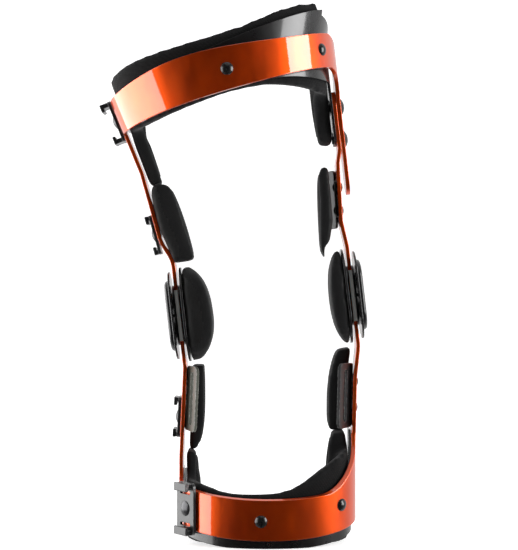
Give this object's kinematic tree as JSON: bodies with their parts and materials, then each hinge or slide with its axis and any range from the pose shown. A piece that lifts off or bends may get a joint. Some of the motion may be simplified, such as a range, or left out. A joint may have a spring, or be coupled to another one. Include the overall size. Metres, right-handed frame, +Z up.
{
  "type": "hinged knee brace",
  "caption": "Rigid hinged knee brace with padded half-cuffs for thigh and shin, geared two-pivot hinges at the sides, condyle pads and swivelling strap clips.",
  "frame": {"origin": "on the plane of the shin liner's lower rim, under the hinge plane, near the middle of the shin cuff", "axes": "+Z up the standing brace, -Y to the front of the leg, -X to the lateral side and +X to the medial side"},
  "size_m": [0.2004, 0.107, 0.3948],
  "materials": {
    "frame_orange": "gloss powder coat",
    "shell_black": "semi-gloss",
    "foam_black": "matte lining cloth over foam",
    "cover_black": "gloss",
    "hinge_steel": "brushed",
    "nylon_grey": "moulded",
    "fastener_dark": "black oxide",
    "rivet_black": "gloss black",
    "loop_grey": "satin",
    "loop_black": "moulded",
    "clip_dark": "satin gunmetal"
  },
  "bodies": {
    "shin": {"shin_frame": "frame_orange", "shin_shell": "shell_black", "shin_liner": "foam_black", "shin_rivets": "rivet_black", "shin_rivet_washers": "rivet_black", "lateral_calf_pad": "foam_black", "medial_calf_pad": "foam_black", "lateral_calf_loop": "loop_grey", "medial_calf_loop": "loop_black", "calf_loop_rivets": "fastener_dark", "shin_clip_rivets": "fastener_dark", "shin_hinge_bushes": "nylon_grey"},
    "lateral_hinge": {"lateral_outer_hinge_plate": "hinge_steel", "lateral_inner_hinge_plate": "hinge_steel", "lateral_hinge_pivots": "hinge_steel", "lateral_extension_stop": "nylon_grey", "lateral_stop_pin": "hinge_steel", "lateral_hinge_cover": "cover_black", "lateral_hinge_cap": "cover_black", "lateral_cover_screws": "hinge_steel", "lateral_condyle_shell": "shell_black", "lateral_condyle_pad": "foam_black"},
    "medial_hinge": {"medial_outer_hinge_plate": "hinge_steel", "medial_inner_hinge_plate": "hinge_steel", "medial_hinge_pivots": "hinge_steel", "medial_extension_stop": "nylon_grey", "medial_stop_pin": "hinge_steel", "medial_hinge_cover": "cover_black", "medial_hinge_cap": "cover_black", "medial_cover_screws": "hinge_steel", "medial_condyle_shell": "shell_black", "medial_condyle_pad": "foam_black"},
    "thigh": {"thigh_frame": "frame_orange", "medial_thigh_arm": "frame_orange", "thigh_arm_screws": "fastener_dark", "thigh_arm_nuts": "fastener_dark", "thigh_shell": "shell_black", "thigh_liner": "foam_black", "thigh_rivets": "rivet_black", "thigh_rivet_washers": "rivet_black", "lateral_thigh_pad": "foam_black", "medial_thigh_pad": "foam_black", "medial_thigh_loop": "loop_black", "medial_thigh_loop_rivets": "fastener_dark", "thigh_clip_rivets": "fastener_dark", "thigh_hinge_bushes": "nylon_grey"},
    "upper_thigh_clip": {"upper_thigh_clip": "clip_dark"},
    "lower_thigh_clip": {"lower_thigh_clip": "clip_dark"},
    "calf_clip": {"calf_clip": "clip_dark"},
    "shin_band_clip": {"shin_band_clip": "clip_dark"}
  },
  "joints": [
    {"name": "lateral_lower_pivot", "type": "hinge", "parent": "shin", "child": "lateral_hinge", "pos_m": [-0.06054, 0, 0.15461], "axis": [-0.9936, 0, -0.1132], "range_deg": [0, 60]},
    {"name": "medial_lower_pivot", "type": "hinge", "parent": "shin", "child": "medial_hinge", "pos_m": [0.06863, 0, 0.16933], "axis": [-0.9936, 0, -0.1132], "range_deg": [0, 60]},
    {"name": "lateral_upper_pivot", "type": "hinge", "parent": "lateral_hinge", "child": "thigh", "pos_m": [-0.06303, 0, 0.17647], "axis": [-0.9936, 0, -0.1132], "range_deg": [0, 60]},
    {"name": "upper_thigh_clip_swivel", "type": "hinge", "parent": "thigh", "child": "upper_thigh_clip", "pos_m": [-0.10741, 0, 0.31081], "axis": [-0.9259, 0, -0.3778], "range_deg": [-20, 20]},
    {"name": "lower_thigh_clip_swivel", "type": "hinge", "parent": "thigh", "child": "lower_thigh_clip", "pos_m": [-0.07842, 0, 0.22604], "axis": [-0.9631, 0, -0.269], "range_deg": [-20, 20]},
    {"name": "calf_clip_swivel", "type": "hinge", "parent": "shin", "child": "calf_clip", "pos_m": [-0.06037, 0, 0.08947], "axis": [-0.9991, 0, 0.0428], "range_deg": [-20, 20]},
    {"name": "shin_band_clip_swivel", "type": "hinge", "parent": "shin", "child": "shin_band_clip", "pos_m": [-0.05412, -0.03185, 0.026], "axis": [-0.7689, -0.6394, 0], "range_deg": [-20, 20]}
  ],
  "couplings": [
    {"joint": "medial_lower_pivot", "follows": "lateral_lower_pivot", "ratio": 1},
    {"joint": "lateral_upper_pivot", "follows": "lateral_lower_pivot", "ratio": 1}
  ]
}
